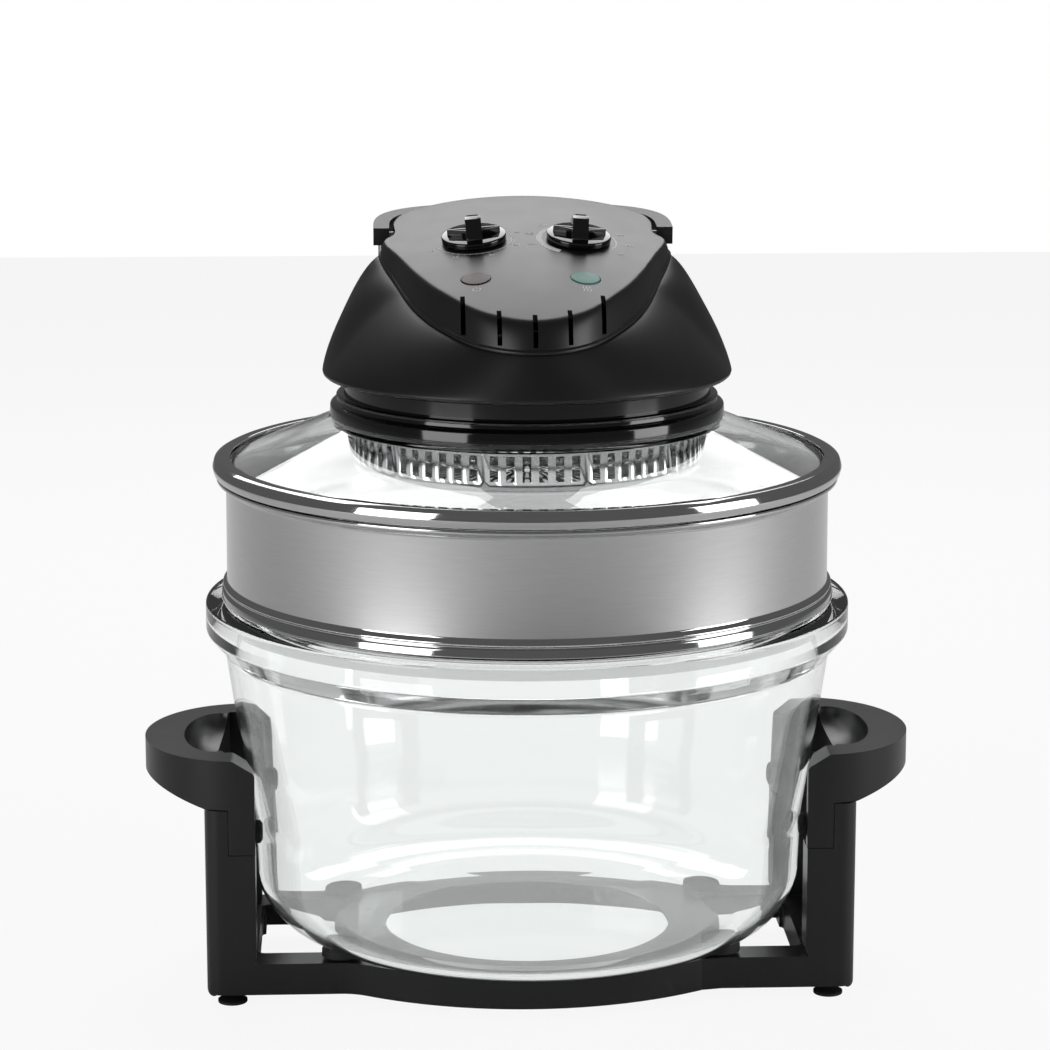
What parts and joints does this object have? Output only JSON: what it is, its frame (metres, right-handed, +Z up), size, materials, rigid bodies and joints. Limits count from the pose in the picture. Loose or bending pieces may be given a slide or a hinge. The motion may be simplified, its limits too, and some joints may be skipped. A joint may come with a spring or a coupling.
{
  "type": "countertop convection oven",
  "caption": "Countertop convection oven: glass bowl in a moulded stand, steel extender ring and a lift-off lid whose head holds heater, fan, dials and a carrying bail.",
  "frame": {"origin": "on the floor, under the middle of the bowl", "axes": "+Z up along the bowl's axis; the user stands on the -Y side and sees the dials; +X is the right handle as the user sees it"},
  "size_m": [0.395, 0.33, 0.3972],
  "materials": {
    "black_plastic": "satin black moulded plastic",
    "gloss_black": "polished black moulded plastic",
    "grey_plastic": "light grey moulded plastic",
    "rubber": "black rubber",
    "silicone": "translucent grey silicone",
    "stainless": "polished stainless sheet",
    "guard_steel": "bright pressed sheet",
    "zinc_steel": "zinc plated",
    "aluminium": "mill finish sheet",
    "clear_glass": "clear tempered glass",
    "quartz": "quartz tube",
    "ceramic": "opaque fired ceramic",
    "red_lens": "dark red lens",
    "teal_lens": "blue-green lens"
  },
  "bodies": {
    "stand": {"stand_base": "black_plastic", "left_handle": "black_plastic", "right_handle": "black_plastic", "foot_front_left": "rubber", "foot_front_right": "rubber", "foot_rear_left": "rubber", "foot_rear_right": "rubber", "bowl_pad_front_left": "rubber", "bowl_pad_front_right": "rubber", "bowl_pad_rear_left": "rubber", "bowl_pad_rear_right": "rubber", "bumper_front_left": "rubber", "bumper_front_right": "rubber", "bumper_rear_left": "rubber", "bumper_rear_right": "rubber"},
    "bowl": {"glass_bowl": "clear_glass"},
    "extender": {"extender_ring": "stainless"},
    "head": {"lid_rim": "stainless", "lid_gasket": "silicone", "lid_glass": "clear_glass", "lower_housing": "gloss_black", "collar_ring": "gloss_black", "heater_guard": "guard_steel", "heat_shield": "aluminium", "halogen_tube": "quartz", "lamp_holder_left": "ceramic", "lamp_holder_right": "ceramic", "fan_motor": "zinc_steel", "motor_bracket": "zinc_steel", "terminal_block": "ceramic", "dome_housing": "black_plastic", "control_pod": "black_plastic", "cord_gland": "rubber", "timer_unit": "zinc_steel", "thermostat_unit": "zinc_steel", "power_lens": "red_lens", "heat_lens": "teal_lens", "handle_pin_left": "zinc_steel", "handle_pin_right": "zinc_steel", "safety_switch": "grey_plastic"},
    "bail": {"lift_handle": "black_plastic"},
    "fan": {"motor_shaft": "zinc_steel", "hot_air_fan": "aluminium", "fan_nut": "zinc_steel", "cooling_fan": "grey_plastic"},
    "timer_dial": {"timer_knob": "gloss_black", "timer_pointer": "grey_plastic"},
    "thermostat_dial": {"thermostat_knob": "gloss_black", "thermostat_pointer": "grey_plastic"},
    "plunger": {"switch_plunger": "grey_plastic"}
  },
  "joints": [
    {"name": "bowl_lift", "type": "slide", "parent": "stand", "child": "bowl", "axis": [0, 0, 1], "range_m": [0, 0.15]},
    {"name": "extender_lift", "type": "slide", "parent": "bowl", "child": "extender", "axis": [0, 0, 1], "range_m": [0, 0.12]},
    {"name": "lid_lift", "type": "slide", "parent": "extender", "child": "head", "axis": [0, 0, 1], "range_m": [0, 0.15]},
    {"name": "bail_pivot", "type": "hinge", "parent": "head", "child": "bail", "pos_m": [0, 0.046, 0.381], "axis": [1, 0, 0], "range_deg": [0, 84]},
    {"name": "timer_turn", "type": "hinge", "parent": "head", "child": "timer_dial", "pos_m": [-0.0265, 0.008, 0.38297], "axis": [-0.0772, -0.2272, 0.9708], "range_deg": [-300, 0]},
    {"name": "thermostat_turn", "type": "hinge", "parent": "head", "child": "thermostat_dial", "pos_m": [0.0265, 0.008, 0.38297], "axis": [0.0772, -0.2272, 0.9708], "range_deg": [-270, 0]},
    {"name": "fan_spin", "type": "hinge", "parent": "head", "child": "fan", "pos_m": [0, 0, 0.31], "axis": [0, 0, 1], "continuous": true},
    {"name": "switch_travel", "type": "slide", "parent": "head", "child": "plunger", "axis": [0, 0, 1], "range_m": [0, 0.002]}
  ],
  "couplings": [
    {"joint": "switch_travel", "follows": "bail_pivot", "m_per_rad": 0.001273}
  ]
}
